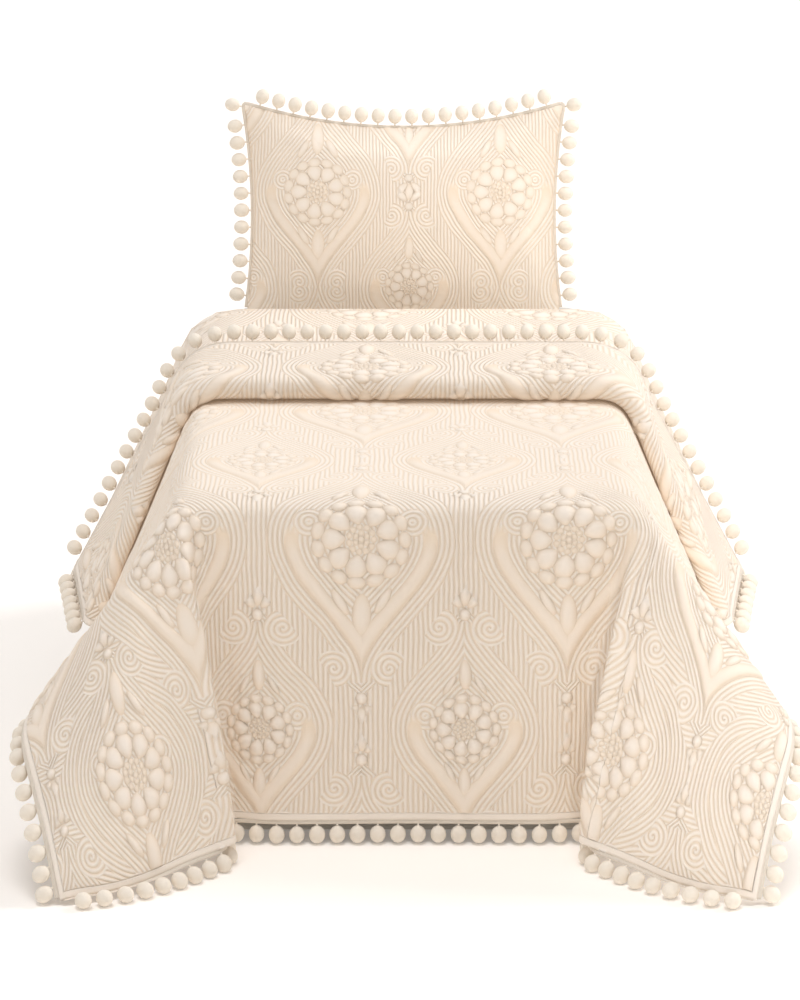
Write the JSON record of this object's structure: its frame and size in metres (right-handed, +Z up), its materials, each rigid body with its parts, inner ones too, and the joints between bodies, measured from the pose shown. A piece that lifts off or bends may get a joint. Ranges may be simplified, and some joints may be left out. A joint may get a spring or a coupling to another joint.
{
  "type": "bedspread on a twin bed",
  "caption": "Embossed cotton bedspread with pompom trim, draped over a twin bed and folded back at the head, with one matching sham.",
  "frame": {"origin": "middle of the bed base's underside, on the floor", "axes": "+Z up, +Y from the foot of the bed toward its head, +X to the right seen from the foot"},
  "size_m": [1.6956, 2.314, 1.3284],
  "materials": {
    "cotton": "embossed matt cotton",
    "sham_cotton": "embossed matt cotton",
    "felt": "matt felt",
    "ticking": "plain woven ticking",
    "upholstery": "plain woven upholstery"
  },
  "bodies": {
    "root": {"bedspread": "cotton", "foot_trim": "felt", "side_trim_left": "felt", "side_trim_right": "felt", "inner_trim_left": "felt", "inner_trim_right": "felt", "cuff_side_trim_left": "felt", "cuff_side_trim_right": "felt", "cuff_trim": "felt", "sham": "sham_cotton", "sham_trim": "felt", "mattress": "ticking", "bed_base": "upholstery"}
  },
  "joints": []
}
